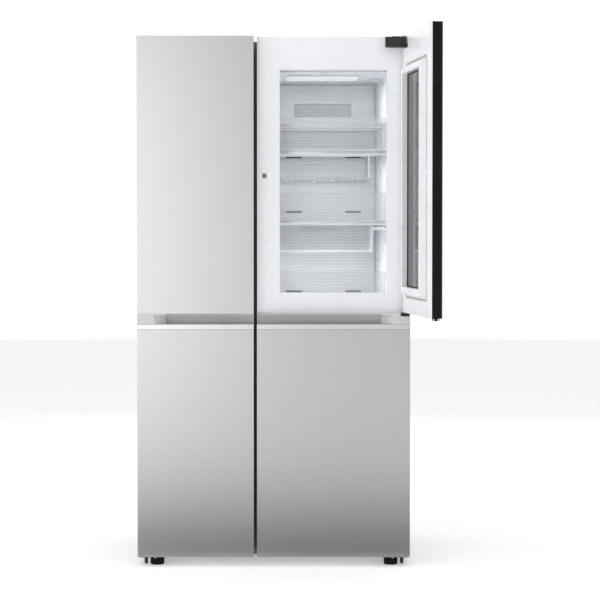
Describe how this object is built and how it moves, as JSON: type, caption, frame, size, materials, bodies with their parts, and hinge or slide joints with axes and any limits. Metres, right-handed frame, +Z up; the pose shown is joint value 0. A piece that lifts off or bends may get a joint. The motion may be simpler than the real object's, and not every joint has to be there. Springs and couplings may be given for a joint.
{
  "type": "side-by-side refrigerator",
  "caption": "Side-by-side refrigerator with brushed steel doors, pocket handles and a glass door-in-door swung open over a window of bins and shelves.",
  "frame": {"origin": "on the floor, under the middle of the cabinet's width and depth with its doors shut", "axes": "+Z up, -Y towards the person who opens the doors, +X towards the fresh food side"},
  "size_m": [0.9866, 1.2227, 1.79],
  "materials": {
    "case_paint": "satin grey enamel",
    "galvanised_steel": "galvanised",
    "black_steel": "black powder coat",
    "hinge_steel": "zinc plated",
    "foam": "rigid foam",
    "white_plastic": "smooth moulded",
    "duct_plastic": "fine ribbed",
    "copper": "drawn tube",
    "aluminium": "satin anodised",
    "black_plastic": "moulded",
    "lamp_lens": "opal",
    "shelf_glass": "clear",
    "clear_plastic": "clear",
    "steel_panel": "horizontal brushed",
    "handle_plastic": "silver grey satin",
    "gasket_rubber": "soft matte",
    "dark_glass": "tinted"
  },
  "bodies": {
    "cabinet": {"back_panel": "case_paint", "base_tray": "case_paint", "bottle_rack": "hinge_steel", "bottom_hinges": "black_steel", "cabinet_insulation": "foam", "ceiling_lamps": "lamp_lens", "compressor": "black_steel", "compressor_bay_cover": "galvanised_steel", "compressor_bay_wall": "galvanised_steel", "condenser_coil": "copper", "drawer_rails": "white_plastic", "evaporator": "aluminium", "fan_motors": "black_plastic", "freezer_duct_cover": "duct_plastic", "freezer_liner": "white_plastic", "fridge_duct_cover": "duct_plastic", "fridge_liner": "white_plastic", "front_frame": "case_paint", "hinge_covers": "case_paint", "outer_case": "case_paint", "roller_brackets": "galvanised_steel", "shelf_glass": "shelf_glass", "shelf_rims": "white_plastic", "top_hinges": "hinge_steel"},
    "freezer_door": {"freezer_door_bins": "clear_plastic", "freezer_door_foam": "foam", "freezer_door_gasket": "gasket_rubber", "freezer_door_handle_lip": "aluminium", "freezer_door_handle_recess": "handle_plastic", "freezer_door_liner": "white_plastic", "freezer_door_lower_panel": "steel_panel", "freezer_door_upper_panel": "steel_panel"},
    "fridge_door": {"fridge_door_foam": "foam", "fridge_door_gasket": "gasket_rubber", "fridge_door_handle_lip": "aluminium", "fridge_door_handle_recess": "handle_plastic", "fridge_door_liner": "white_plastic", "fridge_door_lower_bins": "clear_plastic", "fridge_door_lower_panel": "steel_panel", "fridge_door_side_trim": "aluminium", "fridge_door_window_bins": "clear_plastic", "fridge_door_window_frame": "white_plastic", "outer_door_hinges": "black_steel"},
    "outer_door": {"outer_door_frame": "black_plastic", "outer_door_gasket": "gasket_rubber", "outer_door_glass": "dark_glass", "outer_door_liner": "white_plastic", "outer_door_window": "dark_glass"},
    "release_lever": {"outer_door_release_lever": "handle_plastic"},
    "snack_drawer": {"snack_drawer": "clear_plastic"},
    "crisper_upper": {"crisper_upper": "clear_plastic"},
    "crisper_lower": {"crisper_lower": "clear_plastic"},
    "freezer_drawer_upper": {"freezer_drawer_upper": "clear_plastic"},
    "freezer_drawer_lower": {"freezer_drawer_lower": "clear_plastic"},
    "levelling_foot_left": {"levelling_foot_left": "black_plastic"},
    "levelling_foot_right": {"levelling_foot_right": "black_plastic"},
    "roller_left": {"roller_left": "black_plastic"},
    "roller_right": {"roller_right": "black_plastic"},
    "condenser_fan": {"condenser_fan": "black_plastic"},
    "evaporator_fan": {"evaporator_fan": "black_plastic"}
  },
  "joints": [
    {"name": "freezer_door_hinge", "type": "hinge", "parent": "cabinet", "child": "freezer_door", "pos_m": [-0.4315, -0.3175, 0.9], "axis": [0, 0, -1], "range_deg": [0, 115]},
    {"name": "fridge_door_hinge", "type": "hinge", "parent": "cabinet", "child": "fridge_door", "pos_m": [0.4315, -0.3175, 0.9], "axis": [0, 0, 1], "range_deg": [0, 115]},
    {"name": "outer_door_hinge", "type": "hinge", "parent": "fridge_door", "child": "outer_door", "pos_m": [0.452, -0.3485, 1.3], "axis": [0, 0, 1], "range_deg": [-96.7, 8.3]},
    {"name": "release_lever_hinge", "type": "hinge", "parent": "outer_door", "child": "release_lever", "pos_m": [0.50751, -0.82528, 0.851], "axis": [-0.1167, 0.9932, 0], "range_deg": [0, 15], "stiffness_Nm_per_rad": 0.05},
    {"name": "levelling_foot_left_turn", "type": "hinge", "parent": "cabinet", "child": "levelling_foot_left", "pos_m": [-0.395, -0.3, 0.011], "axis": [0, 0, 1], "continuous": true},
    {"name": "levelling_foot_right_turn", "type": "hinge", "parent": "cabinet", "child": "levelling_foot_right", "pos_m": [0.395, -0.3, 0.011], "axis": [0, 0, 1], "continuous": true},
    {"name": "roller_left_spin", "type": "hinge", "parent": "cabinet", "child": "roller_left", "pos_m": [-0.38, 0.3, 0.011], "axis": [1, 0, 0], "continuous": true},
    {"name": "roller_right_spin", "type": "hinge", "parent": "cabinet", "child": "roller_right", "pos_m": [0.38, 0.3, 0.011], "axis": [1, 0, 0], "continuous": true},
    {"name": "condenser_fan_spin", "type": "hinge", "parent": "cabinet", "child": "condenser_fan", "pos_m": [0, 0.278, 0.14], "axis": [1, 0, 0], "continuous": true},
    {"name": "evaporator_fan_spin", "type": "hinge", "parent": "cabinet", "child": "evaporator_fan", "pos_m": [-0.232, 0.254, 1.25], "axis": [0, 1, 0], "continuous": true},
    {"name": "snack_drawer_slide", "type": "slide", "parent": "cabinet", "child": "snack_drawer", "axis": [0, -1, 0], "range_m": [0, 0.26]},
    {"name": "crisper_upper_slide", "type": "slide", "parent": "cabinet", "child": "crisper_upper", "axis": [0, -1, 0], "range_m": [0, 0.26]},
    {"name": "crisper_lower_slide", "type": "slide", "parent": "cabinet", "child": "crisper_lower", "axis": [0, -1, 0], "range_m": [0, 0.26]},
    {"name": "freezer_drawer_upper_slide", "type": "slide", "parent": "cabinet", "child": "freezer_drawer_upper", "axis": [0, -1, 0], "range_m": [0, 0.26]},
    {"name": "freezer_drawer_lower_slide", "type": "slide", "parent": "cabinet", "child": "freezer_drawer_lower", "axis": [0, -1, 0], "range_m": [0, 0.26]}
  ],
  "couplings": [
    {"joint": "snack_drawer_slide", "follows": "fridge_door_hinge", "m_per_rad": 0.12954},
    {"joint": "crisper_upper_slide", "follows": "fridge_door_hinge", "m_per_rad": 0.12954},
    {"joint": "crisper_lower_slide", "follows": "fridge_door_hinge", "m_per_rad": 0.12954},
    {"joint": "freezer_drawer_upper_slide", "follows": "freezer_door_hinge", "m_per_rad": 0.12954},
    {"joint": "freezer_drawer_lower_slide", "follows": "freezer_door_hinge", "m_per_rad": 0.12954}
  ]
}
